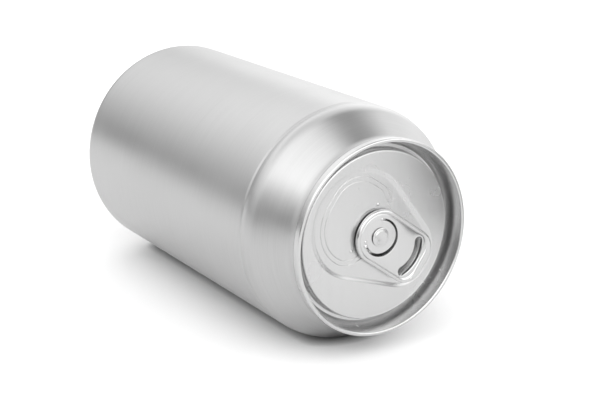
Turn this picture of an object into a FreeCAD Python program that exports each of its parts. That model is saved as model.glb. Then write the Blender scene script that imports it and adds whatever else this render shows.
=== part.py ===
import FreeCAD, Part
import math
import os

import Sketcher

# A plain aluminium two-piece drinks can, shut and full, lying on its side.
# Three pieces: the drawn and ironed body with its contents, the stamped end that is
# seamed onto it, and the pull tab that the end's rivet holds.
# Each piece is modelled upright about its own Z axis, with the stand ring at Z = 0
# and the end on top, and is then laid down along Y with the end facing -Y.

# (alias, value in millimetres or degrees, what it is)
DIMENSIONS = (
    ("can_height", 122.2, "overall height, stand ring to top of seam"),
    ("body_radius", 33.1, "outside radius of the straight side wall"),
    ("stand_radius", 25.2, "outer radius of the stand ring's land"),
    ("stand_round", 1.2, "outer rounding of the stand ring"),
    ("stand_inner_round", 0.7, "inner rounding of the stand ring"),
    ("chime_height", 6.5, "height at which the lower cone would meet the side wall"),
    ("chime_round", 4.2, "rounding between the lower cone and the side wall"),
    ("stand_width", 1.9, "radial width of the stand ring"),
    ("dome_leg_height", 5.4, "height of that wall up to the dome"),
    ("dome_depth", 10.9, "height of the dome's centre above the stand plane"),
    ("dome_corner_round", 1.2, "rounding between the dome and its steep wall"),
    ("shoulder_drop", 15.2, "how far below the seam's top the neck cone would meet the side wall"),
    ("shoulder_round", 9.0, "rounding between the side wall and the neck cone"),
    ("neck_radius", 26.1, "outside radius just under the seam"),
    ("neck_wall", 0.15, "thickness of the neck's wall under the seam"),
    ("neck_drop", 4.9, "how far below the seam's top the neck cone would meet the neck"),
    ("neck_round", 5.0, "rounding between the neck cone and the neck"),
    ("seam_overhang", 1.15, "how far the double seam stands out past the neck"),
    ("seam_height", 2.5, "height of the double seam"),
    ("seam_top_round", 0.5, "roundings on top of the double seam"),
    ("seam_width", 1.0, "radial width of the double seam"),
    ("groove_depth", 6.7, "depth of the ring groove below the seam's top"),
    ("chuck_wall_run", 1.35, "how far the chuck wall runs inwards, seam to ring groove"),
    ("groove_round", 0.5, "rounding of the ring groove's floor"),
    ("groove_width", 1.4, "radial width of the ring groove, out from the flat centre"),
    ("end_depth", 3.6, "depth of the flat centre below the seam's top"),
    ("end_edge_round", 0.6, "rounding of the flat centre's edge"),
    ("end_bottom_wall", 0.6, "thickness left under the ring groove"),
    ("end_bottom_inset", 0.8, "how far the end's underside lies inside the neck's outside"),
    ("end_clearance", 0.1, "radial gap between the end and the neck"),
    ("recess_depth", 0.4, "depth of the drop-shaped recess in the end"),
    ("recess_mouth_radius", 15.0, "radius of the recess round the pouring mouth"),
    ("recess_mouth_margin", 1.9, "flat left between that arc and the flat centre's edge"),
    ("recess_heel_radius", 9.7, "radius of the recess round the tab's heel"),
    ("recess_heel_margin", 2.9, "flat left between that arc and the flat centre's edge"),
    ("score_margin", 2.9, "distance between the recess's far edge and the score line"),
    ("score_side_margin", 2.8, "the same at the sides, where the recess is widest"),
    ("score_round", 9.5, "rounding of the score line's far corners"),
    ("score_near_round", 4.0, "rounding of the score line's near corner"),
    ("score_start", 0.6, "distance past the rivet at which the score line starts"),
    ("score_hook", 1.2, "distance before the rivet at which the score line ends"),
    ("score_line_width", 0.3, "width of the score lines"),
    ("score_line_depth", 0.12, "depth of the score lines"),
    ("score_spacing", 1.3, "distance between the two score lines"),
    ("bump_radius", 0.6, "radius of the two small bumps beside the tab's nose"),
    ("bump_height", 0.25, "height of those bumps"),
    ("bump_back", 4.5, "distance of the bumps from the rivet, towards the mouth"),
    ("bump_side", 7.2, "distance of the bumps to each side"),
    ("rivet_base_radius", 3.2, "radius of the raised seat under the tab"),
    ("rivet_shank_radius", 1.6, "radius of the rivet's shank"),
    ("rivet_head_radius", 2.6, "radius of the rivet's head"),
    ("rivet_head_thickness", 0.3, "thickness of the rivet's head"),
    ("rivet_button_radius", 1.95, "radius of the raised button on the head"),
    ("rivet_button_height", 0.2, "height of that button"),
    ("rivet_gap", 0.2, "play between the tab's web and the rivet, above and below"),
    ("rivet_hole_gap", 0.15, "radial play between the tab and the rivet's shank"),
    ("tab_rise", 1.9, "height of the tab's top above the flat centre, at the rivet"),
    ("tab_tilt", 3.0, "upward slope of the tab towards its heel, in degrees"),
    ("tab_half_width", 7.65, "half the tab's width"),
    ("tab_nose_reach", 7.1, "distance from the rivet to the tip of the nose"),
    ("tab_nose_round", 7.4, "rounding of the nose"),
    ("tab_heel_gap", 2.7, "space between the end of the heel and the recess's wall"),
    ("tab_heel_round", 5.6, "rounding of the heel's corners"),
    ("tab_thickness", 1.5, "thickness of the curled rim"),
    ("tab_edge_round", 0.65, "rounding of the curled rim"),
    ("tab_rim_width", 1.1, "width of the curled rim beside the sunk web"),
    ("tab_heel_rim_width", 2.4, "width of the curled rim at the heel"),
    ("web_sink", 0.25, "depth of the web below the curled rim's top"),
    ("web_thickness", 0.5, "thickness of the web"),
    ("slot_heel_width", 3.2, "width of the tab between the finger slot and the heel's end"),
    ("slot_inner_radius", 7.1, "inner radius of the finger slot"),
    ("slot_outer_radius", 9.5, "outer radius of the finger slot"),
    ("slot_half_angle", 44.0, "half the angle that the finger slot spans, in degrees"),
    ("cut_centre", 0.5, "distance from the rivet to the centre of the curved cut"),
    ("cut_inner_radius", 4.7, "inner radius of the curved cut round the rivet"),
    ("cut_outer_radius", 5.25, "outer radius of that cut"),
    ("cut_half_angle", 118.0, "half the angle that the cut spans, in degrees"),
    ("lid_roll", -36.0, "turn of the end about the can's axis, in degrees"),
    ("flat_half_width", 3.7, "half the width of the flat that the can lies on"),
)

SHEET = "Dimensions"
TINY = 1e-9


class Size:
    """A size that carries both its number and the sheet expression it comes from."""

    def __init__(self, number, text):
        self.number = number
        self.text = text

    def __add__(self, other):
        other = as_size(other)
        return Size(self.number + other.number, f"({self.text} + {other.text})")

    def __sub__(self, other):
        other = as_size(other)
        return Size(self.number - other.number, f"({self.text} - {other.text})")

    def __mul__(self, factor):
        factor = as_size(factor)
        return Size(self.number * factor.number, f"({self.text} * {factor.text})")

    def __neg__(self):
        return Size(-self.number, f"(-1 * {self.text})")


def as_size(value):
    if isinstance(value, Size):
        return value
    return Size(float(value), repr(float(value)))


def cosine(angle):
    return Size(math.cos(math.radians(angle.number)), f"cos({angle.text} * 1 deg)")


def square_root(size):
    return Size(math.sqrt(size.number), f"sqrt({size.text})")


def limited(size, limit):
    """The size, or the limit where that is smaller."""
    return Size(min(size.number, limit.number), f"min({size.text}; {limit.text})")


def make_sheet(doc):
    sheet = doc.addObject("Spreadsheet::Sheet", SHEET)
    sizes = {}
    for row, (alias, value, note) in enumerate(DIMENSIONS, start=1):
        sheet.set(f"A{row}", alias)
        sheet.set(f"B{row}", str(value))
        sheet.set(f"C{row}", note)
        sheet.setAlias(f"B{row}", alias)
        sizes[alias] = Size(value, f"{SHEET}.{alias}")
    doc.recompute()
    add_fitted_sizes(sizes)
    return sizes


def add_fitted_sizes(size):
    """Radii, depths and reaches that follow from another piece's size and a named margin."""
    top = size["can_height"]
    size["dome_leg_radius"] = size["stand_radius"] - size["stand_width"]
    size["shoulder_height"] = top - size["shoulder_drop"]
    size["neck_height"] = top - size["neck_drop"]

    size["seam_radius"] = size["neck_radius"] + size["seam_overhang"]
    size["chuck_radius"] = size["seam_radius"] - size["seam_width"]
    size["groove_outer_radius"] = size["chuck_radius"] - size["chuck_wall_run"]
    size["end_radius"] = size["groove_outer_radius"] - size["groove_width"]
    size["end_bottom_radius"] = size["neck_radius"] - size["end_bottom_inset"]
    size["end_bottom_depth"] = size["groove_depth"] + size["end_bottom_wall"]

    mouth_reach = size["end_radius"] - size["recess_mouth_margin"]
    heel_reach = size["end_radius"] - size["recess_heel_margin"]
    size["recess_mouth_centre"] = mouth_reach - size["recess_mouth_radius"]
    size["recess_heel_centre"] = heel_reach - size["recess_heel_radius"]
    size["score_reach"] = mouth_reach - size["score_margin"]
    size["score_half_width"] = size["recess_mouth_radius"] - size["score_side_margin"]

    size["tab_depth"] = size["end_depth"] - size["tab_rise"]
    size["tab_heel_reach"] = heel_reach - size["tab_heel_gap"]
    slot_reach = size["tab_heel_reach"] - size["slot_heel_width"]
    size["slot_centre"] = slot_reach - size["slot_outer_radius"]


# ---- sketch helpers ----------------------------------------------------------

def new_sketch(body, name, role="XY_Plane", height=None):
    """A sketch on one of the body's own origin planes, lifted to a height."""
    sketch = body.newObject("Sketcher::SketchObject", name)
    plane = next(item for item in body.Origin.OriginFeatures if item.Role == role)
    sketch.AttachmentSupport = [(plane, "")]
    sketch.MapMode = "FlatFace"
    if height is not None:
        sketch.setExpression(".AttachmentOffset.Base.z", height.text)
    return sketch


def bind(sketch, kind, references, size):
    index = sketch.addConstraint(Sketcher.Constraint(kind, *references, size.number))
    sketch.setExpression(f"Constraints[{index}]", size.text)


def place_point(sketch, geometry, point, x, y):
    """Hold a sketch point at signed distances from the sketch's origin."""
    for kind, axis, size in (("DistanceX", -2, as_size(x)), ("DistanceY", -1, as_size(y))):
        if abs(size.number) < TINY:
            sketch.addConstraint(Sketcher.Constraint("PointOnObject", geometry, point, axis))
        elif size.number > 0:
            bind(sketch, kind, (-1, 1, geometry, point), size)
        else:
            bind(sketch, kind, (geometry, point, -1, 1), -size)


def vector(x, y):
    return FreeCAD.Vector(x, y, 0)


def draw_outline(sketch, corners):
    """Close a polygon through corners (x, y, rounding), rounding 0 for a sharp one."""
    points = [vector(as_size(x).number, as_size(y).number) for x, y, _ in corners]
    count = len(corners)
    entries, exits, arcs = [], [], {}
    for index, (_, _, rounding) in enumerate(corners):
        here = points[index]
        back = (points[index - 1] - here).normalize()
        ahead = (points[(index + 1) % count] - here).normalize()
        radius = as_size(rounding).number
        if radius < TINY:
            entries.append(here)
            exits.append(here)
            continue
        half_angle = back.getAngle(ahead) / 2
        setback = radius / math.tan(half_angle)
        centre = here + (back + ahead).normalize() * (radius / math.sin(half_angle))
        middle = centre + (here - centre).normalize() * radius
        entries.append(here + back * setback)
        exits.append(here + ahead * setback)
        arcs[index] = Part.Arc(entries[index], middle, exits[index])
    lines = []
    for index in range(count):
        end = entries[(index + 1) % count]
        lines.append(sketch.addGeometry(Part.LineSegment(exits[index], end), False))
    for index, (x, y, rounding) in enumerate(corners):
        before = lines[index - 1]
        after = lines[index]
        if index not in arcs:
            sketch.addConstraint(Sketcher.Constraint("Coincident", before, 2, after, 1))
            place_point(sketch, after, 1, x, y)
            continue
        arc = sketch.addGeometry(arcs[index], False)
        first, last = 1, 2
        if (sketch.getPoint(arc, 1) - entries[index]).Length > 1e-6:
            first, last = 2, 1
        sketch.addConstraint(Sketcher.Constraint("Tangent", before, 2, arc, first))
        sketch.addConstraint(Sketcher.Constraint("Tangent", arc, last, after, 1))
        bind(sketch, "Radius", (arc,), as_size(rounding))
        corner = sketch.addGeometry(Part.Point(points[index]), True)
        place_point(sketch, corner, 1, x, y)
        sketch.addConstraint(Sketcher.Constraint("PointOnObject", corner, 1, before))
        sketch.addConstraint(Sketcher.Constraint("PointOnObject", corner, 1, after))


def draw_circle(sketch, x, y, radius):
    start = vector(as_size(x).number, as_size(y).number)
    circle = sketch.addGeometry(Part.Circle(start, vector_up(), radius.number), False)
    place_point(sketch, circle, 3, x, y)
    bind(sketch, "Radius", (circle,), radius)


def vector_up():
    return FreeCAD.Vector(0, 0, 1)


def draw_arc_slot(sketch, centre_x, inner, outer, half_angle):
    """A band between two arcs about (centre_x, 0), round-ended, symmetric about X."""
    swing = math.radians(half_angle.number)
    start = vector(centre_x.number, 0)

    def arc(radius, middle, first, last):
        circle = Part.Circle(middle, vector_up(), radius)
        return sketch.addGeometry(Part.ArcOfCircle(circle, first, last), False)

    outer_arc = arc(outer.number, start, -swing, swing)
    inner_arc = arc(inner.number, start, -swing, swing)
    mean = (outer + inner) * 0.5
    cap_radius = (outer.number - inner.number) / 2
    reach = mean * cosine(half_angle)
    for side in (1, -1):
        turn = side * swing
        middle = start + vector(math.cos(turn), math.sin(turn)) * mean.number
        if side > 0:
            cap = arc(cap_radius, middle, turn, turn + math.pi)
            ends = ((outer_arc, 2, cap, 1), (cap, 2, inner_arc, 2))
        else:
            cap = arc(cap_radius, middle, turn - math.pi, turn)
            ends = ((inner_arc, 1, cap, 1), (cap, 2, outer_arc, 1))
        for pair in ends:
            sketch.addConstraint(Sketcher.Constraint("Tangent", *pair))
        across = centre_x + reach
        if across.number > 0:
            bind(sketch, "DistanceX", (-1, 1, cap, 3), across)
        else:
            bind(sketch, "DistanceX", (cap, 3, -1, 1), -across)
    sketch.addConstraint(Sketcher.Constraint("Coincident", outer_arc, 3, inner_arc, 3))
    place_point(sketch, outer_arc, 3, centre_x, 0)
    bind(sketch, "Radius", (outer_arc,), outer)
    bind(sketch, "Radius", (inner_arc,), inner)


# ---- feature helpers ---------------------------------------------------------

def revolve(body, kind, name, sketch):
    feature = body.newObject(kind, name)
    feature.Profile = sketch
    feature.ReferenceAxis = (sketch, ["V_Axis"])
    feature.Angle = 360
    body.Document.recompute()
    return feature


def add_pad(body, name, sketch, length, downward=False):
    pad = body.newObject("PartDesign::Pad", name)
    pad.Profile = sketch
    pad.setExpression("Length", length.text)
    pad.Reversed = downward
    body.Document.recompute()
    return pad


def cut_pocket(body, name, sketch, depth=None, upward=False):
    """Cut a pocket of this depth, or right through both ways where no depth is given."""
    before = body.Shape.Volume
    pocket = body.newObject("PartDesign::Pocket", name)
    pocket.Profile = sketch
    if depth is None:
        pocket.Type = "ThroughAll"
        pocket.Midplane = True
    else:
        pocket.setExpression("Length", depth.text)
        pocket.Reversed = upward
    body.Document.recompute()
    if not body.Shape.Volume < before - TINY:
        raise RuntimeError(f"{name} cut nothing")
    return pocket


def round_edges(body, name, radius, wanted):
    """Fillet the edges of the body's present shape that the test picks."""
    base = body.Tip
    names = [f"Edge{n}" for n, edge in enumerate(base.Shape.Edges, start=1) if wanted(edge)]
    if not names:
        raise RuntimeError(f"{name} found no edge")
    fillet = body.newObject("PartDesign::Fillet", name)
    fillet.Base = (base, names)
    fillet.setExpression("Radius", radius.text)
    body.Document.recompute()
    return fillet


def lies_at_height(edge, height):
    box = edge.BoundBox
    return abs(box.ZMin - height) < 1e-4 and abs(box.ZMax - height) < 1e-4


def is_ring(edge, radius, height):
    if edge.Degenerated:
        return False
    curve = edge.Curve
    if not isinstance(curve, Part.Circle):
        return False
    return abs(curve.Radius - radius) < 1e-3 and lies_at_height(edge, height)


# ---- the three pieces --------------------------------------------------------

def make_can_body(doc, size):
    """Side wall, neck, stand ring and dome, solid with the contents."""
    body = doc.addObject("PartDesign::Body", "can_body")
    body.Label = "can_body"
    seam_bottom = size["can_height"] - size["seam_height"]
    end_bottom = size["can_height"] - size["end_bottom_depth"]
    bore_top = size["neck_radius"] - size["neck_wall"]
    bore_bottom = size["end_bottom_radius"] + size["end_clearance"]

    profile = new_sketch(body, "BodyProfile", "XZ_Plane")
    draw_outline(profile, (
        (0, 0, 0),
        (size["stand_radius"], 0, size["stand_round"]),
        (size["body_radius"], size["chime_height"], size["chime_round"]),
        (size["body_radius"], size["shoulder_height"], size["shoulder_round"]),
        (size["neck_radius"], size["neck_height"], size["neck_round"]),
        (size["neck_radius"], seam_bottom, 0),
        (bore_top, seam_bottom, 0),
        (bore_bottom, end_bottom, 0),
        (0, end_bottom, 0),
    ))
    revolve(body, "PartDesign::Revolution", "Wall", profile)

    before = body.Shape.Volume
    dome = new_sketch(body, "DomeProfile", "XZ_Plane")
    leg = size["dome_leg_radius"]
    leg_top = size["dome_leg_height"]
    apex = size["dome_depth"]
    draw_dome(dome, leg, leg_top, apex)
    revolve(body, "PartDesign::Groove", "Dome", dome)
    if not body.Shape.Volume < before:
        raise RuntimeError("the dome cut nothing")
    round_edges(body, "DomeCorner", size["dome_corner_round"],
                lambda edge: is_ring(edge, leg.number, leg_top.number))
    round_edges(body, "StandInside", size["stand_inner_round"],
                lambda edge: is_ring(edge, leg.number, 0))

    flat = new_sketch(body, "RestingFlat")
    half_width = size["flat_half_width"]
    reach = flat_reach(size)
    outside = size["body_radius"] * 1.2
    draw_outline(flat, (
        (-half_width * 2, -outside, 0),
        (half_width * 2, -outside, 0),
        (half_width * 2, -reach, 0),
        (-half_width * 2, -reach, 0),
    ))
    cut_pocket(body, "RestingFlatCut", flat)
    return body


def flat_reach(size):
    """Distance from the can's axis to the flat that it lies on."""
    radius = size["body_radius"]
    half_width = size["flat_half_width"]
    return square_root(radius * radius - half_width * half_width)


def draw_dome(sketch, leg, leg_top, apex):
    """Half-section of the hollow under the can: a steep wall below a shallow arc."""
    rise = apex.number - leg_top.number
    radius = (leg.number ** 2 + rise ** 2) / (2 * rise)
    centre = vector(0, apex.number - radius)
    lean = math.asin(leg.number / radius)
    middle = centre + vector(math.sin(lean / 2), math.cos(lean / 2)) * radius
    top = vector(0, apex.number)
    corner = vector(leg.number, leg_top.number)
    foot = vector(leg.number, 0)
    arc = sketch.addGeometry(Part.Arc(corner, middle, top), False)
    wall = sketch.addGeometry(Part.LineSegment(foot, corner), False)
    floor = sketch.addGeometry(Part.LineSegment(vector(0, 0), foot), False)
    axis = sketch.addGeometry(Part.LineSegment(top, vector(0, 0)), False)
    first, last = 1, 2
    if (sketch.getPoint(arc, 1) - corner).Length > 1e-6:
        first, last = 2, 1
    sketch.addConstraint(Sketcher.Constraint("Coincident", wall, 2, arc, first))
    sketch.addConstraint(Sketcher.Constraint("Coincident", arc, last, axis, 1))
    sketch.addConstraint(Sketcher.Constraint("Coincident", axis, 2, floor, 1))
    sketch.addConstraint(Sketcher.Constraint("Coincident", floor, 2, wall, 1))
    sketch.addConstraint(Sketcher.Constraint("PointOnObject", arc, 3, -2))
    place_point(sketch, floor, 1, 0, 0)
    place_point(sketch, wall, 1, leg, 0)
    place_point(sketch, wall, 2, leg, leg_top)
    place_point(sketch, axis, 1, 0, apex)


def make_can_end(doc, size):
    """Double seam, chuck wall, ring groove, flat centre and rivet."""
    body = doc.addObject("PartDesign::Body", "can_end")
    body.Label = "can_end"
    top = size["can_height"]
    seam_bottom = top - size["seam_height"]
    bottom = top - size["end_bottom_depth"]
    floor = top - size["groove_depth"]
    flat = top - size["end_depth"]
    recess = flat - size["recess_depth"]
    inside = size["neck_radius"] - size["neck_wall"] - size["end_clearance"]
    web_top = top - size["tab_depth"] - size["web_sink"]
    web_bottom = web_top - size["web_thickness"]
    top_round = limited(size["seam_top_round"], size["seam_width"] * 0.5)

    profile = new_sketch(body, "EndProfile", "XZ_Plane")
    draw_outline(profile, (
        (0, bottom, 0),
        (size["end_bottom_radius"], bottom, 0),
        (inside, seam_bottom, 0),
        (size["seam_radius"], seam_bottom, 0),
        (size["seam_radius"], top, top_round),
        (size["chuck_radius"], top, top_round * 0.9),
        (size["groove_outer_radius"], floor, size["groove_round"]),
        (size["end_radius"], floor, size["groove_round"]),
        (size["end_radius"], flat, size["end_edge_round"]),
        (0, flat, 0),
    ))
    revolve(body, "PartDesign::Revolution", "Disc", profile)

    drop = new_sketch(body, "RecessOutline", height=flat)
    draw_drop(drop, size)
    cut_pocket(body, "Recess", drop, size["recess_depth"])

    for name, inset in (("OuterScore", as_size(0)), ("InnerScore", size["score_spacing"])):
        line = new_sketch(body, f"{name}Outline", height=recess)
        draw_score(line, size, inset)
        cut_pocket(body, name, line, size["score_line_depth"])

    bumps = new_sketch(body, "BumpOutlines", height=recess)
    for side in (1, -1):
        draw_circle(bumps, -size["bump_back"], size["bump_side"] * side, size["bump_radius"])
    add_pad(body, "Bumps", bumps, size["bump_height"])

    rivet = new_sketch(body, "RivetProfile", "XZ_Plane")
    head_bottom = web_top + size["rivet_gap"]
    head_top = head_bottom + size["rivet_head_thickness"]
    button_top = head_top + size["rivet_button_height"]
    seat_top = web_bottom - size["rivet_gap"]
    seat_bottom = recess - size["recess_depth"]
    draw_outline(rivet, (
        (0, seat_bottom, 0),
        (size["rivet_base_radius"], seat_bottom, 0),
        (size["rivet_base_radius"], seat_top, 0),
        (size["rivet_shank_radius"], seat_top, 0),
        (size["rivet_shank_radius"], head_bottom, 0),
        (size["rivet_head_radius"], head_bottom, 0),
        (size["rivet_head_radius"], head_top, 0),
        (size["rivet_button_radius"], head_top, 0),
        (size["rivet_button_radius"], button_top, 0),
        (0, button_top, 0),
    ))
    revolve(body, "PartDesign::Revolution", "Rivet", rivet)
    return body


def draw_drop(sketch, size):
    """Drop-shaped outline: a wide arc at the mouth, a small one at the heel."""
    heel_x = size["recess_heel_centre"].number
    mouth_x = -size["recess_mouth_centre"].number
    heel_radius = size["recess_heel_radius"].number
    mouth_radius = size["recess_mouth_radius"].number
    lean = math.acos((mouth_radius - heel_radius) / (heel_x - mouth_x))

    def arc(x, radius, first, last):
        circle = Part.Circle(vector(x, 0), vector_up(), radius)
        return sketch.addGeometry(Part.ArcOfCircle(circle, first, last), False)

    heel = arc(heel_x, heel_radius, -lean, lean)
    mouth = arc(mouth_x, mouth_radius, lean, 2 * math.pi - lean)
    for start, first, end, last in ((heel, 2, mouth, 1), (mouth, 2, heel, 1)):
        side = Part.LineSegment(sketch.getPoint(start, first), sketch.getPoint(end, last))
        line = sketch.addGeometry(side, False)
        sketch.addConstraint(Sketcher.Constraint("Tangent", start, first, line, 1))
        sketch.addConstraint(Sketcher.Constraint("Tangent", line, 2, end, last))
    place_point(sketch, heel, 3, size["recess_heel_centre"], 0)
    place_point(sketch, mouth, 3, -size["recess_mouth_centre"], 0)
    bind(sketch, "Radius", (heel,), size["recess_heel_radius"])
    bind(sketch, "Radius", (mouth,), size["recess_mouth_radius"])


def draw_score(sketch, size, inset):
    """A thin open band round the pouring mouth, this far inside the outer score."""
    width = size["score_line_width"]
    loop = []
    for gap, backwards in ((inset, False), (inset + width, True)):
        half = size["score_half_width"] - gap
        reach = size["score_reach"] - gap
        far_round = size["score_round"] - gap
        near_round = size["score_near_round"] - gap
        start_x = size["score_start"] - gap
        hook_x = -size["score_hook"] - gap
        hook_y = half - size["score_hook"]
        chain = [
            (start_x, -half * 0.5, 0),
            (start_x - near_round, -half, near_round),
            (-reach, -half, far_round),
            (-reach, half, far_round),
            (hook_x - size["score_near_round"], half, near_round),
            (hook_x, hook_y, 0),
        ]
        loop += chain[::-1] if backwards else chain
    draw_outline(sketch, loop)


def make_pull_tab(doc, size):
    """Curled rim, sunk web, curved cut round the rivet and the finger slot."""
    body = doc.addObject("PartDesign::Body", "pull_tab")
    body.Label = "pull_tab"
    thickness = size["tab_thickness"]
    half = size["tab_half_width"]
    nose = size["tab_nose_reach"]
    heel = size["tab_heel_reach"]

    def draw_tab(sketch, side_inset, heel_inset):
        nose_round = size["tab_nose_round"] - side_inset
        heel_round = size["tab_heel_round"] - side_inset
        draw_outline(sketch, (
            (side_inset - nose, side_inset - half, nose_round),
            (heel - heel_inset, side_inset - half, heel_round),
            (heel - heel_inset, half - side_inset, heel_round),
            (side_inset - nose, half - side_inset, nose_round),
        ))

    outline = new_sketch(body, "TabOutline")
    draw_tab(outline, as_size(0), as_size(0))
    add_pad(body, "Blank", outline, thickness, downward=True)
    edge_round = limited(size["tab_edge_round"], thickness * 0.45)
    round_edges(body, "CurledRim", edge_round,
                lambda edge: lies_at_height(edge, 0) or lies_at_height(edge, -thickness.number))

    rim = size["tab_rim_width"]
    heel_rim = size["tab_heel_rim_width"]
    sunk = new_sketch(body, "SunkWebOutline")
    draw_tab(sunk, rim, heel_rim)
    cut_pocket(body, "SunkWeb", sunk, size["web_sink"])

    hollow = new_sketch(body, "HollowOutline", height=-thickness)
    draw_tab(hollow, rim, heel_rim)
    hollow_depth = thickness - size["web_sink"] - size["web_thickness"]
    cut_pocket(body, "Hollow", hollow, hollow_depth, upward=True)

    slot = new_sketch(body, "FingerSlotOutline")
    draw_arc_slot(slot, size["slot_centre"], size["slot_inner_radius"],
                  size["slot_outer_radius"], size["slot_half_angle"])
    cut_pocket(body, "FingerSlot", slot)

    cut = new_sketch(body, "CurvedCutOutline")
    draw_arc_slot(cut, size["cut_centre"], size["cut_inner_radius"],
                  size["cut_outer_radius"], size["cut_half_angle"])
    cut_pocket(body, "CurvedCut", cut)

    hole = new_sketch(body, "RivetHoleOutline")
    draw_circle(hole, 0, 0, size["rivet_shank_radius"] + size["rivet_hole_gap"])
    cut_pocket(body, "RivetHole", hole)
    return body


def lay_down(body, size, turn, lift):
    """Lay an upright piece along Y, its own origin lifted along the can's axis."""
    onto_side = FreeCAD.Rotation(FreeCAD.Vector(1, 0, 0), 90)
    body.Placement = FreeCAD.Placement(FreeCAD.Vector(0, 0, 0), onto_side * turn)
    along = size["can_height"] * 0.5 - lift
    body.setExpression(".Placement.Base.y", along.text)
    body.setExpression(".Placement.Base.z", flat_reach(size).text)


def check(doc, bodies):
    for item in doc.Objects:
        if "Invalid" in item.State or "Error" in item.State:
            raise RuntimeError(f"{item.Name} failed: {item.State}")
    for body in bodies:
        shape = body.Shape
        if shape.isNull() or not shape.isValid() or len(shape.Solids) != 1:
            raise RuntimeError(f"{body.Label} is not one sound solid")


def main():
    doc = FreeCAD.newDocument("DrinksCan")
    size = make_sheet(doc)
    can_body = make_can_body(doc, size)
    can_end = make_can_end(doc, size)
    pull_tab = make_pull_tab(doc, size)

    roll = FreeCAD.Rotation(FreeCAD.Vector(0, 0, 1), size["lid_roll"].number)
    tilt = FreeCAD.Rotation(FreeCAD.Vector(0, 1, 0), -size["tab_tilt"].number)
    level = FreeCAD.Rotation()
    lay_down(can_body, size, level, as_size(0))
    lay_down(can_end, size, roll, as_size(0))
    lay_down(pull_tab, size, roll * tilt, size["can_height"] - size["tab_depth"])
    doc.recompute()

    bodies = (can_body, can_end, pull_tab)
    check(doc, bodies)
    os.makedirs("parts", exist_ok=True)
    for body in bodies:
        body.Shape.exportStep(f"parts/{body.Label}.step")
        box = body.Shape.BoundBox
        print(body.Label, "volume", round(body.Shape.Volume, 2), "box", box)


main()
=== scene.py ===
import math

import bmesh
import bpy
from mathutils import Matrix, Vector


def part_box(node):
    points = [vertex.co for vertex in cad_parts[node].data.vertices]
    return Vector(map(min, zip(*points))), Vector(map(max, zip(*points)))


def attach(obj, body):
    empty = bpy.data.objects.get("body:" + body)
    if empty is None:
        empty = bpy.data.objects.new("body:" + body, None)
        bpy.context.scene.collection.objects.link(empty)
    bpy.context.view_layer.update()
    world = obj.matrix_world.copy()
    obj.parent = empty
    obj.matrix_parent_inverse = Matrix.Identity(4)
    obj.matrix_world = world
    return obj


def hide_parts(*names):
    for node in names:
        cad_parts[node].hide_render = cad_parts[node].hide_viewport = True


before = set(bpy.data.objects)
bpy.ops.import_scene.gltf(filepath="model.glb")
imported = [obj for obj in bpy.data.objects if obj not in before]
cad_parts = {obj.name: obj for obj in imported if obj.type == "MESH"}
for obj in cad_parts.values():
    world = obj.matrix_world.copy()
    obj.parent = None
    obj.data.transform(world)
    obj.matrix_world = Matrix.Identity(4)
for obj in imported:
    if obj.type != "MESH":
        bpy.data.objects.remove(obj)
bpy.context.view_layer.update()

# ------------------------------------------------------------------ the studio
# A plain white table in a room that lights it softly from all round: brightest half-way up,
# dimmer near the horizon, with a few broad lamps, and a grey card beside the can's end.

TABLE_HALF_WIDTH = 3.0
TABLE_WHITE = 0.96
PAPER_CHANGE = 0.01
CONTACT_REACH = 0.0035
CONTACT_DARKEST = 0.25
TABLE_SHARE_ON_METAL = 0.80

table_mesh = bmesh.new()
bmesh.ops.create_grid(table_mesh, x_segments=1, y_segments=1, size=TABLE_HALF_WIDTH)
table_data = bpy.data.meshes.new("studio_table")
table_mesh.to_mesh(table_data)
table_mesh.free()
table = bpy.data.objects.new("studio_table", table_data)
bpy.context.scene.collection.objects.link(table)

table_paint = bpy.data.materials.new("table_white")
table_paint.use_nodes = True
table_nodes = table_paint.node_tree.nodes
table_links = table_paint.node_tree.links
table_shader = table_nodes["Principled BSDF"]
table_shader.inputs["Roughness"].default_value = 0.9
table_shader.inputs["Specular IOR Level"].default_value = 0.1
paper = table_nodes.new("ShaderNodeTexNoise")
paper.inputs["Scale"].default_value = 900.0
paper_place = table_nodes.new("ShaderNodeTexCoord")
table_links.new(paper_place.outputs["Object"], paper.inputs["Vector"])
paper_tone = table_nodes.new("ShaderNodeMapRange")
paper_tone.inputs["To Min"].default_value = TABLE_WHITE - PAPER_CHANGE
paper_tone.inputs["To Max"].default_value = TABLE_WHITE + PAPER_CHANGE
table_links.new(paper.outputs["Fac"], paper_tone.inputs["Value"])
# Within a few millimetres of the can the table darkens, which gives the contact shadow.
nearness = table_nodes.new("ShaderNodeAmbientOcclusion")
nearness.inputs["Distance"].default_value = CONTACT_REACH
contact = table_nodes.new("ShaderNodeMapRange")
contact.inputs["From Max"].default_value = 0.8
contact.inputs["To Min"].default_value = CONTACT_DARKEST
table_links.new(nearness.outputs["AO"], contact.inputs["Value"])
table_tone = table_nodes.new("ShaderNodeMath")
table_tone.operation = "MULTIPLY"
table_links.new(paper_tone.outputs["Result"], table_tone.inputs[0])
table_links.new(contact.outputs["Result"], table_tone.inputs[1])
# The table throws a little less light onto the metal than it shows to the camera.
table_ray = table_nodes.new("ShaderNodeLightPath")
table_share = table_nodes.new("ShaderNodeMapRange")
table_share.inputs["To Min"].default_value = TABLE_SHARE_ON_METAL
table_links.new(table_ray.outputs["Is Camera Ray"], table_share.inputs["Value"])
table_seen = table_nodes.new("ShaderNodeMath")
table_seen.operation = "MULTIPLY"
table_links.new(table_tone.outputs["Value"], table_seen.inputs[0])
table_links.new(table_share.outputs["Result"], table_seen.inputs[1])
table_links.new(table_seen.outputs["Value"], table_shader.inputs["Base Color"])
table.data.materials.append(table_paint)

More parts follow.
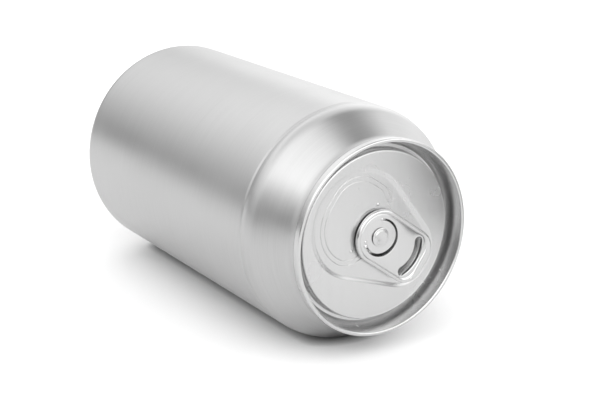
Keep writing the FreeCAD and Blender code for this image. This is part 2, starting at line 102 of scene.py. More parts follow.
# A grey card stands to the right of the can's end, out of the camera's sight, so that
# the end has something to mirror there.
CARD_LEFT, CARD_RIGHT = 0.069, 0.112
CARD_ALONG, CARD_TOP = -0.133, 0.038
CARD_FOOT_TONE, CARD_TOP_TONE = 0.22, 0.08
card_mesh = bmesh.new()
card_edge = [card_mesh.verts.new((x, CARD_ALONG, 0.0)) for x in (CARD_LEFT, CARD_RIGHT)]
card_foot = card_mesh.edges.new(card_edge)
card_rise = bmesh.ops.extrude_edge_only(card_mesh, edges=[card_foot])["geom"]
for corner in card_rise:
    if isinstance(corner, bmesh.types.BMVert):
        corner.co.z = CARD_TOP
card_data = bpy.data.meshes.new("studio_card")
card_mesh.to_mesh(card_data)
card_mesh.free()
card = bpy.data.objects.new("studio_card", card_data)
bpy.context.scene.collection.objects.link(card)
card_paint = bpy.data.materials.new("card_grey")
card_paint.use_nodes = True
card_nodes = card_paint.node_tree.nodes
card_links = card_paint.node_tree.links
card_shader = card_nodes["Principled BSDF"]
card_shader.inputs["Roughness"].default_value = 0.9
card_place = card_nodes.new("ShaderNodeTexCoord")
card_split = card_nodes.new("ShaderNodeSeparateXYZ")
card_tone = card_nodes.new("ShaderNodeMapRange")
card_tone.inputs["From Max"].default_value = CARD_TOP
card_tone.inputs["To Min"].default_value = CARD_FOOT_TONE
card_tone.inputs["To Max"].default_value = CARD_TOP_TONE
card_links.new(card_place.outputs["Object"], card_split.inputs["Vector"])
card_links.new(card_split.outputs["Z"], card_tone.inputs["Value"])
card_links.new(card_tone.outputs["Result"], card_shader.inputs["Base Color"])
card.data.materials.append(card_paint)
card.visible_camera = False
card.visible_shadow = False

# The room: its tone by height above the horizon, with soft round lamps added to it.
# It lights the table a little more than the metal, and behind the table it is plain white.
room = bpy.data.worlds.new("studio_room")
bpy.context.scene.world = room
room.use_nodes = True
room_nodes = room.node_tree.nodes
room_links = room.node_tree.links
room_nodes.clear()
room_out = room_nodes.new("ShaderNodeOutputWorld")
room_light = room_nodes.new("ShaderNodeBackground")
room_white = room_nodes.new("ShaderNodeBackground")
room_white.inputs["Color"].default_value = (1.0, 1.0, 1.0, 1.0)
room_mix = room_nodes.new("ShaderNodeMixShader")
room_ray = room_nodes.new("ShaderNodeLightPath")
room_way = room_nodes.new("ShaderNodeTexCoord")
room_split = room_nodes.new("ShaderNodeSeparateXYZ")
room_links.new(room_way.outputs["Generated"], room_split.inputs["Vector"])
room_ramp = room_nodes.new("ShaderNodeValToRGB")
room_links.new(room_split.outputs["Z"], room_ramp.inputs["Fac"])
ROOM_SHARE_ON_TABLE = 1.1
ROOM_TONES = (
    (0.0, 0.27),
    (0.10, 0.38),
    (0.28, 0.76),
    (0.46, 1.10),
    (0.62, 1.45),
    (0.80, 1.05),
    (1.0, 0.90),
)
ramp = room_ramp.color_ramp
ramp.interpolation = "EASE"
while len(ramp.elements) < len(ROOM_TONES):
    ramp.elements.new(0.5)
for stop, (place, tone) in zip(ramp.elements, ROOM_TONES):
    stop.position = place
    stop.color = (tone, tone, tone, 1.0)


def add_room_lamp(before, direction, wide, narrow, strength):
    """Adds to the room's light a soft round patch that lies in one direction."""
    aim = room_nodes.new("ShaderNodeVectorMath")
    aim.operation = "DOT_PRODUCT"
    aim.inputs[1].default_value = Vector(direction).normalized()
    room_links.new(room_way.outputs["Generated"], aim.inputs[0])
    patch = room_nodes.new("ShaderNodeMapRange")
    patch.interpolation_type = "SMOOTHSTEP"
    patch.inputs["From Min"].default_value = math.cos(math.radians(wide))
    patch.inputs["From Max"].default_value = math.cos(math.radians(narrow))
    patch.inputs["To Max"].default_value = strength
    room_links.new(aim.outputs["Value"], patch.inputs["Value"])
    total = room_nodes.new("ShaderNodeMath")
    room_links.new(before, total.inputs[0])
    room_links.new(patch.outputs["Result"], total.inputs[1])
    return total.outputs["Value"]


# Direction, outer and inner half-angle, and strength, which is less than nothing for a gap.
ROOM_LAMPS = (
    ((-0.42, -0.20, 0.88), 42, 12, 0.60),
    ((0.75, 0.62, 0.10), 32, 12, 0.9),
    ((-0.36, -0.84, 0.42), 36, 12, 1.05),
    ((0.50, -0.80, 0.35), 42, 15, 0.85),
    ((-0.93, -0.27, 0.15), 30, 10, -0.3),
    ((0.42, -0.05, 0.90), 26, 8, -0.62),
)
room_tone = room_ramp.outputs["Color"]
for lamp in ROOM_LAMPS:
    room_tone = add_room_lamp(room_tone, *lamp)
room_links.new(room_tone, room_light.inputs["Color"])
room_share = room_nodes.new("ShaderNodeMapRange")
room_share.inputs["To Min"].default_value = 1.0
room_share.inputs["To Max"].default_value = ROOM_SHARE_ON_TABLE
room_links.new(room_ray.outputs["Is Diffuse Ray"], room_share.inputs["Value"])
room_links.new(room_share.outputs["Result"], room_light.inputs["Strength"])
room_links.new(room_ray.outputs["Is Camera Ray"], room_mix.inputs["Fac"])
room_links.new(room_light.outputs["Background"], room_mix.inputs[1])
room_links.new(room_white.outputs["Background"], room_mix.inputs[2])
room_links.new(room_mix.outputs["Shader"], room_out.inputs["Surface"])

CAMERA_LENS = 79.97
CAMERA_PLACE = (-0.20180, -0.33548, 0.15052)
CAMERA_DOWN = 0.3073
CAMERA_YAW = -0.5731
camera_data = bpy.data.cameras.new("camera")
camera_data.sensor_width = 36.0
camera_data.lens = CAMERA_LENS
camera_data.clip_start = 0.01
camera_data.clip_end = 20.0
camera = bpy.data.objects.new("camera", camera_data)
camera.location = CAMERA_PLACE
camera.rotation_euler = (math.pi / 2 - CAMERA_DOWN, 0.0, CAMERA_YAW)
bpy.context.scene.collection.objects.link(camera)
bpy.context.scene.camera = camera
bpy.context.scene.view_settings.view_transform = "Standard"

# ------------------------------------------------------------------ the can body
# One cup drawn and ironed from aluminium sheet, closed at its foot by the domed base
# and necked in at the top to meet the end. Its wall is brushed round and varnished clear.
# Each piece is drawn upright in millimetres, as it comes off its tool, and then laid down.

MILLIMETRE = 0.001
TURN_STEPS = 256
FILLET_STEPS = 10
GUARD = 0.06

body_low, body_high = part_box("can_body")
end_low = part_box("can_end")[0]
body_radius = (body_high.x - body_low.x) / 2
axis_height = body_high.z - body_radius
foot_along = body_high.y
rim_along = end_low.y
can_height = (foot_along - rim_along) / MILLIMETRE


def lying(turn_degrees, along):
    """Takes an upright piece in millimetres to its place on the lying can."""
    onto_side = Matrix.Rotation(math.pi / 2, 4, "X")
    turn = Matrix.Rotation(math.radians(turn_degrees), 4, "Z")
    place = Matrix.Translation((0.0, along, axis_height))
    return place @ onto_side @ turn @ Matrix.Scale(MILLIMETRE, 4)


def rounded(corners):
    """Points of an open line through (radius, height, rounding) corners."""
    points = [Vector(corners[0][:2])]
    for before, here, after in zip(corners, corners[1:], corners[2:]):
        corner = Vector(here[:2])
        rounding = here[2]
        if rounding == 0:
            points.append(corner)
            continue
        back = (Vector(before[:2]) - corner).normalized()
        onward = (Vector(after[:2]) - corner).normalized()
        half = math.acos(max(-1.0, min(1.0, back.dot(onward)))) / 2
        reach = rounding / math.tan(half)
        centre = corner + (back + onward).normalized() * (rounding / math.sin(half))
        start = corner + back * reach
        end = corner + onward * reach
        points.append(start + back * GUARD)
        sweep = math.pi - 2 * half
        first = start - centre
        side = 1 if first.cross(end - centre) > 0 else -1
        for step in range(FILLET_STEPS + 1):
            angle = side * sweep * step / FILLET_STEPS
            cosine, sine = math.cos(angle), math.sin(angle)
            turned = (first.x * cosine - first.y * sine, first.x * sine + first.y * cosine)
            points.append(centre + Vector(turned))
        points.append(end + onward * GUARD)
    points.append(Vector(corners[-1][:2]))
    return points


def spin_line(shape, points):
    """Turns an open line of (radius, height) points round the upright axis."""
    corners = [shape.verts.new((point.x, 0.0, point.y)) for point in points]
    edges = [shape.edges.new(pair) for pair in zip(corners, corners[1:])]
    bmesh.ops.spin(
        shape,
        geom=corners + edges,
        cent=(0.0, 0.0, 0.0),
        axis=(0.0, 0.0, 1.0),
        angle=2 * math.pi,
        steps=TURN_STEPS,
        use_merge=True,
        use_duplicate=False,
    )
    bmesh.ops.remove_doubles(shape, verts=shape.verts, dist=0.0005)


def finish_piece(name, shape, place, node, material):
    """Places a shape, gives it its finish and puts it in the stead of its CAD node."""
    bmesh.ops.transform(shape, matrix=place, verts=shape.verts)
    bmesh.ops.remove_doubles(shape, verts=shape.verts, dist=1e-7)
    bmesh.ops.recalc_face_normals(shape, faces=shape.faces)
    for face in shape.faces:
        face.smooth = True
    mesh = bpy.data.meshes.new(name)
    shape.to_mesh(mesh)
    shape.free()
    piece = bpy.data.objects.new(name, mesh)
    bpy.context.scene.collection.objects.link(piece)
    mesh.materials.append(material)
    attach(piece, "root")
    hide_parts(node)
    return piece


def new_group(name, inputs, outputs):
    """An empty shader node group with named float, colour or vector sockets."""
    group = bpy.data.node_groups.new(name, "ShaderNodeTree")
    for label, kind in inputs:
        group.interface.new_socket(label, in_out="INPUT", socket_type=kind)
    for label, kind in outputs:
        group.interface.new_socket(label, in_out="OUTPUT", socket_type=kind)
    entry = group.nodes.new("NodeGroupInput")
    leave = group.nodes.new("NodeGroupOutput")
    return group, entry, leave


# Grain: fine drawn-out lines in the metal, with a slower tone change across them.
grain, grain_in, grain_out = new_group(
    "metal_grain",
    (("Vector", "NodeSocketVector"), ("Depth", "NodeSocketFloat")),
    (("Tone", "NodeSocketFloat"), ("Height", "NodeSocketFloat")),
)
fine_lines = grain.nodes.new("ShaderNodeTexNoise")
fine_lines.inputs["Scale"].default_value = 1.0
fine_lines.inputs["Detail"].default_value = 6.0
fine_lines.inputs["Roughness"].default_value = 0.7
grain.links.new(grain_in.outputs["Vector"], fine_lines.inputs["Vector"])
grain_height = grain.nodes.new("ShaderNodeMath")
grain_height.operation = "MULTIPLY"
grain.links.new(fine_lines.outputs["Fac"], grain_height.inputs[0])
grain.links.new(grain_in.outputs["Depth"], grain_height.inputs[1])
grain.links.new(grain_height.outputs["Value"], grain_out.inputs["Height"])
grain.links.new(fine_lines.outputs["Fac"], grain_out.inputs["Tone"])

# Wear: faint smears from handling and a few short, narrow streaks.
wear, wear_in, wear_out = new_group(
    "handling_wear",
    (("Vector", "NodeSocketVector"),),
    (("Smear", "NodeSocketFloat"), ("Scratch", "NodeSocketFloat")),
)
smears = wear.nodes.new("ShaderNodeTexNoise")
smears.inputs["Scale"].default_value = 55.0
smears.inputs["Detail"].default_value = 4.0
smears.inputs["Distortion"].default_value = 0.6
wear.links.new(wear_in.outputs["Vector"], smears.inputs["Vector"])
wear.links.new(smears.outputs["Fac"], wear_out.inputs["Smear"])
scratch_lines = wear.nodes.new("ShaderNodeTexNoise")
scratch_lines.inputs["Scale"].default_value = 1.0
scratch_lines.inputs["Detail"].default_value = 1.0
scratch_bend = wear.nodes.new("ShaderNodeMapping")
scratch_bend.inputs["Rotation"].default_value = (0.3, 0.5, 0.8)
scratch_bend.inputs["Scale"].default_value = (3000.0, 140.0, 900.0)
wear.links.new(wear_in.outputs["Vector"], scratch_bend.inputs["Vector"])
wear.links.new(scratch_bend.outputs["Vector"], scratch_lines.inputs["Vector"])
scratch_mask = wear.nodes.new("ShaderNodeMapRange")
scratch_mask.inputs["From Min"].default_value = 0.74
scratch_mask.inputs["From Max"].default_value = 0.84
wear.links.new(scratch_lines.outputs["Fac"], scratch_mask.inputs["Value"])
wear.links.new(scratch_mask.outputs["Result"], wear_out.inputs["Scratch"])


def aluminium(name, grain_scale, grain_depth, tones, roughness, anisotropy, tangent_axis=None):
    """Bare aluminium with its grain, its smears and its scratches."""
    material = bpy.data.materials.new(name)
    material.use_nodes = True
    nodes = material.node_tree.nodes
    links = material.node_tree.links
    shader = nodes["Principled BSDF"]
    shader.inputs["Metallic"].default_value = 1.0
    shader.inputs["Anisotropic"].default_value = anisotropy
    place = nodes.new("ShaderNodeTexCoord")
    centre = nodes.new("ShaderNodeMapping")
    centre.inputs["Location"].default_value = (0.0, 0.0, -axis_height)
    links.new(place.outputs["Object"], centre.inputs["Vector"])
    stretch = nodes.new("ShaderNodeVectorMath")
    stretch.operation = "MULTIPLY"
    stretch.inputs[1].default_value = grain_scale
    links.new(centre.outputs["Vector"], stretch.inputs[0])
    lines = nodes.new("ShaderNodeGroup")
    lines.node_tree = grain
    lines.inputs["Depth"].default_value = 1.0
    links.new(stretch.outputs["Vector"], lines.inputs["Vector"])
    marks = nodes.new("ShaderNodeGroup")
    marks.node_tree = wear
    links.new(centre.outputs["Vector"], marks.inputs["Vector"])

    tone = nodes.new("ShaderNodeMapRange")
    tone.inputs["From Min"].default_value = 0.3
    tone.inputs["From Max"].default_value = 0.7
    tone.inputs["To Min"].default_value = tones[0]
    tone.inputs["To Max"].default_value = tones[1]
    links.new(lines.outputs["Tone"], tone.inputs["Value"])
    colour = nodes.new("ShaderNodeCombineColor")
    for channel in ("Red", "Green", "Blue"):
        links.new(tone.outputs["Result"], colour.inputs[channel])
    links.new(colour.outputs["Color"], shader.inputs["Base Color"])

    rough = nodes.new("ShaderNodeMapRange")
    rough.inputs["From Min"].default_value = 0.3
    rough.inputs["From Max"].default_value = 0.7
    rough.inputs["To Min"].default_value = roughness[0]
    rough.inputs["To Max"].default_value = roughness[1]
    links.new(marks.outputs["Smear"], rough.inputs["Value"])
    scratched = nodes.new("ShaderNodeMath")
    scratched.operation = "MULTIPLY_ADD"
    scratched.inputs[1].default_value = 0.03
    links.new(marks.outputs["Scratch"], scratched.inputs[0])
    links.new(rough.outputs["Result"], scratched.inputs[2])
    links.new(scratched.outputs["Value"], shader.inputs["Roughness"])

    bump = nodes.new("ShaderNodeBump")
    bump.inputs["Strength"].default_value = 1.0
    bump.inputs["Distance"].default_value = grain_depth
    links.new(lines.outputs["Height"], bump.inputs["Height"])
    links.new(bump.outputs["Normal"], shader.inputs["Normal"])
    if tangent_axis:
        tangent = nodes.new("ShaderNodeTangent")
        tangent.direction_type = "RADIAL"
        tangent.axis = tangent_axis
        links.new(tangent.outputs["Tangent"], shader.inputs["Tangent"])
    return material


dome_leg_radius = 23.3
dome_leg_height = 5.4
dome_depth = 10.9
dome_rise = dome_depth - dome_leg_height
dome_radius = (dome_leg_radius ** 2 + dome_rise ** 2) / (2 * dome_rise)
dome_lean = math.asin(dome_leg_radius / dome_radius)
DOME_STEPS = 24
DOME_SHARE = 0.955
CREASE = 0.2
END_PLUG_DEPTH = 7.3

dome_line = []
for step in range(DOME_STEPS):
    lean = dome_lean * step / DOME_STEPS * DOME_SHARE
    height = dome_depth - dome_radius * (1 - math.cos(lean))
    dome_line.append((dome_radius * math.sin(lean), height, 0))

wall_line = dome_line + [
    (dome_leg_radius, dome_leg_height, 1.2),
    (dome_leg_radius, 0.0, 0.7),
    (25.2, 0.0, 1.2),
    (body_radius / MILLIMETRE, 6.5, 4.2),
    (body_radius / MILLIMETRE, 102.3, 1.0),
    (body_radius / MILLIMETRE - CREASE, 103.0, 1.0),
    (body_radius / MILLIMETRE, 104.5, 0),
    (body_radius / MILLIMETRE, 107.0, 7.5),
    (26.1, 117.3, 5.0),
    (26.1, can_height - 2.5, 0),
    (25.95, can_height - 2.5, 0),
    (25.4, can_height - END_PLUG_DEPTH, 0),
    (0.0, can_height - END_PLUG_DEPTH, 0),
]
body_shape = bmesh.new()
spin_line(body_shape, rounded(wall_line))
body_metal = aluminium(
    "body_aluminium",
    grain_scale=(60.0, 5200.0, 60.0),
    grain_depth=0.000012,
    tones=(0.535, 0.585),
    roughness=(0.28, 0.33),
    anisotropy=0.5,
    tangent_axis="Y",
)
body_place = lying(0.0, foot_along)
body_piece = finish_piece(
    "can_body_shell", body_shape, body_place, "can_body", body_metal
)
# The wall gives a little where it lies on the table.
for vertex in body_piece.data.vertices:
    vertex.co.z = max(vertex.co.z, body_low.z)

# ------------------------------------------------------------------ the can end
# A second aluminium sheet, stamped to a lid with a ring groove, a drop-shaped recess,
# two score lines round the pouring mouth and a rivet, and rolled onto the neck as a seam.

PANEL_DEPTH = 3.6
RECESS_DEPTH = 0.42
ARC_STEP = math.radians(4.0)
RUN_STEP = 0.6
TOUCHING = 0.0001


def corner_arcs(corners):
    """Arcs (centre, radius, first angle, sweep) that round a closed outline, anticlockwise."""
    arcs = []
    count = len(corners)
    for place in range(count):
        before = Vector(corners[place - 1][:2])
        corner = Vector(corners[place][:2])
        after = Vector(corners[(place + 1) % count][:2])
        rounding = corners[place][2]
        inward = (corner - before).normalized()
        onward = (after - corner).normalized()
        turn = math.atan2(inward.cross(onward), inward.dot(onward))
        side = 1 if turn > 0 else -1
        normal = Vector((-inward.y, inward.x)) * side
        start = corner - inward * (rounding * math.tan(abs(turn) / 2))
        centre = start + normal * rounding
        first = math.atan2(start.y - centre.y, start.x - centre.x)
        arcs.append((centre, rounding, first, turn))
    return arcs


def arc_points(arcs, inset=0.0, run_pieces=None):
    """Points along a closed chain of arcs and the straight runs between them, set in."""
    lines = []
    bare_ends = []
    for centre, radius, first, sweep in arcs:
        reach = radius - inset * math.copysign(1.0, sweep)
        steps = max(2, math.ceil(abs(sweep) / ARC_STEP))
        turns = [Vector((math.cos(a), math.sin(a))) for a in
                 (first + sweep * step / steps for step in range(steps + 1))]
        lines.append([centre + turn * reach for turn in turns])
        bare_ends.append((centre + turns[0] * radius, centre + turns[-1] * radius))
    points = []
    for place, line in enumerate(lines):
        following = (place + 1) % len(lines)
        gap = (bare_ends[following][0] - bare_ends[place][1]).length
        points += line if gap > TOUCHING else line[:-1]
        pieces = run_pieces or int(gap / RUN_STEP)
        for step in range(1, pieces):
            points.append(line[-1].lerp(lines[following][0], step / pieces))
    return points


def draw_loop(shape, points, height):
    """A closed loop of edges through flat points, at one height or one height each."""
    heights = height if isinstance(height, list) else [height] * len(points)
    corners = [shape.verts.new((p.x, p.y, h)) for p, h in zip(points, heights)]
    for corner, following in zip(corners, corners[1:] + corners[:1]):
        shape.edges.new((corner, following))
    return corners


def loop_edges(loop):
    """The edges between neighbouring corners of a loop."""
    edges = []
    for corner, following in zip(loop, loop[1:] + loop[:1]):
        edges.append(next(e for e in corner.link_edges if e.other_vert(corner) == following))
    return edges


def step_loop(shape, loop, points, height):
    """Extrudes a loop to new points, and gives the new loop in the same order."""
    heights = height if isinstance(height, list) else [height] * len(points)
    made = bmesh.ops.extrude_edge_only(shape, edges=loop_edges(loop))
    fresh = {v for v in made["geom"] if isinstance(v, bmesh.types.BMVert)}
    following = []
    for corner, point, level in zip(loop, points, heights):
        new = next(e.other_vert(corner) for e in corner.link_edges
                   if e.other_vert(corner) in fresh)
        new.co = (point.x, point.y, level)
        following.append(new)
    return following


def fill_between(shape, *loops):
    """Fills the flat sheet between an outer loop and the loops of its holes."""
    edges = []
    for loop in loops:
        edges += loop_edges(loop)
    bmesh.ops.triangle_fill(shape, use_beauty=True, edges=edges, normal=(0.0, 0.0, 1.0))


def ring(radius, middle=(0.0, 0.0)):
    """A full circle as one chain of two arcs."""
    centre = Vector(middle)
    return [(centre, radius, 0.0, math.pi), (centre, radius, math.pi, math.pi)]


end_shape = bmesh.new()
seam_line = (
    (0.0, -END_PLUG_DEPTH, 0),
    (25.3, -END_PLUG_DEPTH, 0),
    (25.85, -2.5, 0),
    (27.15, -2.5, 0.15),
    (27.25, -2.0, 0.3),
    (27.25, 0.0, 0.5),
    (26.25, 0.0, 0.45),
    (24.9, -6.7, 0.5),
    (23.5, -6.7, 0.5),
    (23.5, -PANEL_DEPTH, 0.6),
    (22.75, -PANEL_DEPTH, 0),
)
spin_line(end_shape, rounded(seam_line))
rim_edges = [edge for edge in end_shape.edges if edge.is_boundary]

mouth_centre = Vector((-6.6, 0.0))
heel_centre = Vector((10.9, 0.0))
MOUTH_RADIUS = 15.0
HEEL_RADIUS = 9.7
tangent_lean = math.acos((MOUTH_RADIUS - HEEL_RADIUS) / (heel_centre - mouth_centre).length)
drop = [
    (heel_centre, HEEL_RADIUS, -tangent_lean, 2 * tangent_lean),
    (mouth_centre, MOUTH_RADIUS, tangent_lean, 2 * math.pi - 2 * tangent_lean),
]
RECESS_WALL = ((-0.5, 0.0), (-0.4, 0.01), (-0.2, 0.10), (0.05, 0.32), (0.3, 0.56), (0.55, 0.79),
               (0.8, 0.94), (1.0, 0.99), (1.15, 1.0))
loop = draw_loop(end_shape, arc_points(drop, RECESS_WALL[0][0]), -PANEL_DEPTH)
recess_mouth_edges = loop_edges(loop)
bmesh.ops.triangle_fill(
    end_shape, use_beauty=True, edges=rim_edges + recess_mouth_edges, normal=(0.0, 0.0, 1.0)
)
for inset, share in RECESS_WALL[1:]:
    loop = step_loop(
        end_shape, loop, arc_points(drop, inset), -PANEL_DEPTH - RECESS_DEPTH * share
    )
recess_floor = -PANEL_DEPTH - RECESS_DEPTH

score = corner_arcs((
    (-3.6, -12.2, 7.0),
    (0.9, -6.0, 0.8),
    (7.2, -6.4, 2.2),
    (7.2, 6.8, 2.2),
    (0.5, 11.6, 2.0),
    (-1.7, 10.6, 1.1),
    (-5.0, 12.5, 3.2),
    (-18.7, 12.2, 9.5),
    (-18.7, -12.2, 11.3),
))
SCORE_WIDTH = 0.3
SCORE_DROP = 0.15
SCORE_SPACING = 1.3
SCORE_MARGIN = 0.08
SCORE_SECTION = ((0.0, 0.0), (0.05, -0.25), (0.1, 0.6), (0.15, 1.0), (0.2, 0.6), (0.25, -0.25),
                 (0.3, 0.0))


def scored_share(point):
    """How deep the score is cut at a point: whole round the mouth, none under the tab."""
    if point.y > 9.0 and point.x > -1.2:
        return max(0.0, min(1.0, (-0.2 - point.x) / 1.0))
    return 0.0 if point.x > 0.6 else 1.0


previous = loop
for first_inset in (0.0, SCORE_SPACING):
    rim_points = arc_points(score, first_inset - SCORE_MARGIN)
    loop = draw_loop(end_shape, rim_points, recess_floor)
    fill_between(end_shape, previous, loop)
    for inset, share in SCORE_SECTION:
        points = arc_points(score, first_inset + inset)
        levels = [recess_floor - SCORE_DROP * share * scored_share(p) for p in points]
        loop = step_loop(end_shape, loop, points, levels)
    inner_points = arc_points(score, first_inset + SCORE_WIDTH + SCORE_MARGIN)
    loop = step_loop(end_shape, loop, inner_points, recess_floor)
    previous = loop

TAB_DEPTH = 1.7
WEB_SINK = 0.25
WEB_THICKNESS = 0.5
web_top = -TAB_DEPTH - WEB_SINK
RIVET_SECTION = (
    (4.0, recess_floor),
    (3.6, recess_floor + 0.03),
    (3.3, recess_floor + 0.2),
    (3.1, recess_floor + 0.6),
    (2.9, web_top - 0.72),
    (1.65, web_top - 0.70),
    (1.6, web_top - 0.6),
    (1.6, web_top + 0.12),
    (1.75, web_top + 0.2),
    (2.5, web_top + 0.2),
    (2.58, web_top + 0.24),
    (2.6, web_top + 0.3),
    (2.55, web_top + 0.38),
    (2.4, web_top + 0.43),
    (2.15, web_top + 0.46),
    (2.03, web_top + 0.48),
    (1.96, web_top + 0.54),
    (1.92, web_top + 0.62),
    (1.84, web_top + 0.68),
    (1.7, web_top + 0.7),
    (1.4, web_top + 0.68),
    (0.8, web_top + 0.62),
    (0.3, web_top + 0.6),
)
seat_radius, seat_height = RIVET_SECTION[0]
loop = draw_loop(end_shape, arc_points(ring(seat_radius)), seat_height)
fill_between(end_shape, previous, loop)
for radius, height in RIVET_SECTION[1:]:
    loop = step_loop(end_shape, loop, arc_points(ring(radius)), height)
end_shape.faces.new(loop)

BUMP_RADIUS = 0.5
BUMP_HEIGHT = 0.32
BUMP_BACK = 4.5
BUMP_SIDE = 7.2
for side in (1, -1):
    place = Matrix.Translation((-BUMP_BACK, BUMP_SIDE * side, recess_floor))
    squash = Matrix.Diagonal((1.0, 1.0, BUMP_HEIGHT / BUMP_RADIUS, 1.0))
    bmesh.ops.create_uvsphere(
        end_shape, u_segments=24, v_segments=12, radius=BUMP_RADIUS, matrix=place @ squash
    )

LID_TURN = -36.0
end_metal = aluminium(
    "end_aluminium",
    grain_scale=(2600.0, 60.0, 60.0),
    grain_depth=0.000004,
    tones=(0.64, 0.68),
    roughness=(0.24, 0.28),
    anisotropy=0.2,
)
end_place = lying(LID_TURN, rim_along)
finish_piece("can_end_lid", end_shape, end_place, "can_end", end_metal)

# ------------------------------------------------------------------ the pull tab
# Aluminium strip with its edges curled under, held by the rivet through a tongue that
# a curved cut frees from the rest, and with a rolled finger slot behind it.

NOSE_REACH = 7.1
NOSE_ROUND = 7.4
HEEL_REACH = 17.9
HEEL_ROUND = 5.6
HEEL_TIGHTEN = 1.8
TAB_HALF_WIDTH = 7.65
TAB_THICKNESS = 1.5
CURL_ROUND = 0.65
SIDE_RIM = 1.1
HEEL_RIM = 2.4
TAB_TILT = 3.0
TAB_RUN_PIECES = 16
CREVICE = 0.1


def tab_points(inset):
    """The tab's outline, set in evenly round the curl and more at the heel beyond it."""
    heel_inset = inset
    if inset > CURL_ROUND:
        widen = (HEEL_RIM - CURL_ROUND) / (SIDE_RIM - CURL_ROUND)
        heel_inset = CURL_ROUND + min(inset - CURL_ROUND, SIDE_RIM - CURL_ROUND) * widen
        heel_inset += max(0.0, inset - SIDE_RIM)
    half = TAB_HALF_WIDTH - inset
    nose = inset - NOSE_REACH
    heel = HEEL_REACH - heel_inset
    return arc_points(corner_arcs((
        (nose, -half, NOSE_ROUND - inset),
        (heel, -half, HEEL_ROUND - inset * HEEL_TIGHTEN),
        (heel, half, HEEL_ROUND - inset * HEEL_TIGHTEN),
        (nose, half, NOSE_ROUND - inset),
    )), run_pieces=TAB_RUN_PIECES)


def curved_slot(middle, inner, outer, half_angle):
    """A closed band between two arcs about a point on the centre line, with round ends."""
    centre = Vector((middle, 0.0))
    swing = math.radians(half_angle)
    mean = (inner + outer) / 2
    cap = (outer - inner) / 2
    high = centre + Vector((math.cos(swing), math.sin(swing))) * mean
    low = centre + Vector((math.cos(swing), -math.sin(swing))) * mean
    return [
        (centre, outer, -swing, 2 * swing),
        (high, cap, swing, math.pi),
        (centre, inner, swing, -2 * swing),
        (low, cap, -swing - math.pi, math.pi),
    ]


SLOT_MIDDLE = 5.2
SLOT_SWING = 34.0
slot_brim = arc_points(curved_slot(SLOT_MIDDLE, 6.7, 9.75, SLOT_SWING))
slot_throat = arc_points(curved_slot(SLOT_MIDDLE, 7.4, 9.45, SLOT_SWING))
tongue_cut = curved_slot(0.5, 4.7, 5.25, 118.0)
rivet_hole = ring(1.75)

web_level = -WEB_SINK
web_under = -WEB_SINK - WEB_THICKNESS
CURL_STEPS = 8
curl = []
for step in range(CURL_STEPS * 2 + 1):
    angle = math.pi / 2 * (step / CURL_STEPS - 1)
    rise = (TAB_THICKNESS / 2) * math.sin(angle)
    curl.append((CURL_ROUND * (1 - math.cos(angle)), rise - TAB_THICKNESS / 2))
rim_section = [
    (SIDE_RIM + 0.1, web_under),
    (SIDE_RIM, web_under - 0.05),
    (SIDE_RIM - 0.02, web_under - 0.2),
    (SIDE_RIM - 0.05, -TAB_THICKNESS + 0.12),
    (SIDE_RIM - 0.15, -TAB_THICKNESS + 0.02),
] + curl + [
    (0.78, -0.005),
    (0.88, -0.03),
    (0.97, -0.09),
    (1.03, -0.18),
    (1.08, -0.28),
    (1.13, web_level - CREVICE),
    (1.18, web_level - CREVICE + 0.01),
    (1.23, web_level - 0.03),
    (1.30, web_level),
]

tab_shape = bmesh.new()
loop = draw_loop(tab_shape, tab_points(rim_section[0][0]), rim_section[0][1])
under_loop = loop
for inset, height in rim_section[1:]:
    loop = step_loop(tab_shape, loop, tab_points(inset), height)
over_loop = loop

# The finger slot's brim rolls down into the throat and is hemmed back under the web.
SLOT_ROLL = ((-0.06, 0.0), (0.0, 0.0), (0.17, 0.013), (0.34, 0.054), (0.5, 0.12), (0.64, 0.21),
             (0.77, 0.33), (0.87, 0.46), (0.94, 0.60), (0.985, 0.76), (1.0, 0.92), (1.0, 1.05),
             (0.93, 1.10), (0.82, 1.06), (0.74, 0.93), (0.62, 0.80), (0.45, 0.68), (0.2, 0.52),
             (-0.05, WEB_THICKNESS))
top_holes = []
under_holes = []
loop = None
for share, depth in SLOT_ROLL:
    points = [brim.lerp(throat, share) for brim, throat in zip(slot_brim, slot_throat)]
    if loop is None:
        loop = draw_loop(tab_shape, points, web_level - depth)
        top_holes.append(loop)
    else:
        loop = step_loop(tab_shape, loop, points, web_level - depth)
under_holes.append(loop)

CUT_MIDDLE = Vector((0.5, 0.0))
CUT_MEAN = 4.975
CUT_WIDEN = 0.5
CUT_WIDEST_WAY = Vector((0.87, -0.5))


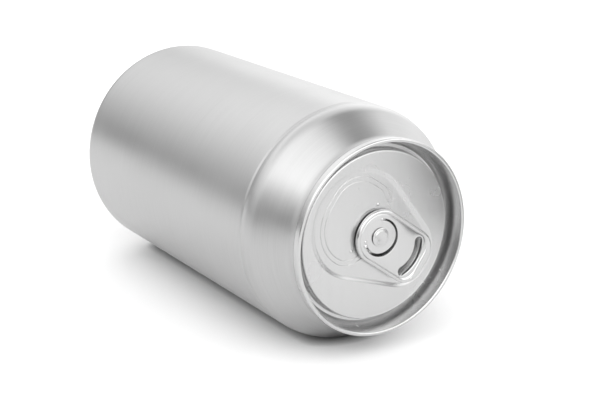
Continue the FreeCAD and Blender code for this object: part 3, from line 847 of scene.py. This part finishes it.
def cut_points(inset):
    """The curved cut's outline, its inner side drawn in where the tongue is pressed back."""
    points = []
    for point in arc_points(tongue_cut, inset):
        away = point - CUT_MIDDLE
        if away.length < CUT_MEAN:
            facing = max(0.0, away.normalized().dot(CUT_WIDEST_WAY))
            point = CUT_MIDDLE + away * (1 - CUT_WIDEN * facing ** 2 / away.length)
        points.append(point)
    return points


CUT_LIP = ((-0.14, web_level), (-0.09, web_level - 0.005), (-0.04, web_level - 0.03),
           (0.0, web_level - 0.09), (0.0, web_under + 0.03), (-0.12, web_under))
HOLE_LIP = ((-0.1, web_level), (0.0, web_level), (0.0, web_under), (-0.1, web_under))
for section, outline in (
    (CUT_LIP, cut_points), (HOLE_LIP, lambda inset: arc_points(rivet_hole, inset))
):
    loop = draw_loop(tab_shape, outline(section[0][0]), section[0][1])
    top_holes.append(loop)
    for inset, height in section[1:]:
        loop = step_loop(tab_shape, loop, outline(inset), height)
    under_holes.append(loop)
fill_between(tab_shape, over_loop, *top_holes)
fill_between(tab_shape, under_loop, *under_holes)

# Small pips where the cut stops and where the heel's curl is nipped at its corner.
PIPS = ((-2.3, 4.3, web_level, 0.45), (-2.6, -4.2, web_level, 0.6), (-3.4, -3.2, web_level, 0.45),
        (15.9, -5.1, -0.06, 0.5))
PIP_RISE = 0.6
for across, up, level, radius in PIPS:
    spot = Matrix.Translation((across, up, level)) @ Matrix.Diagonal((1.0, 1.0, PIP_RISE, 1.0))
    bmesh.ops.create_uvsphere(tab_shape, u_segments=20, v_segments=10, radius=radius, matrix=spot)

tab_metal = aluminium(
    "tab_aluminium",
    grain_scale=(2600.0, 60.0, 60.0),
    grain_depth=0.000004,
    tones=(0.64, 0.68),
    roughness=(0.17, 0.21),
    anisotropy=0.2,
)
tab_tilt = Matrix.Rotation(math.radians(-TAB_TILT), 4, "Y")
tab_place = lying(LID_TURN, rim_along) @ Matrix.Translation((0.0, 0.0, -TAB_DEPTH)) @ tab_tilt
finish_piece("pull_tab_ring", tab_shape, tab_place, "pull_tab", tab_metal)
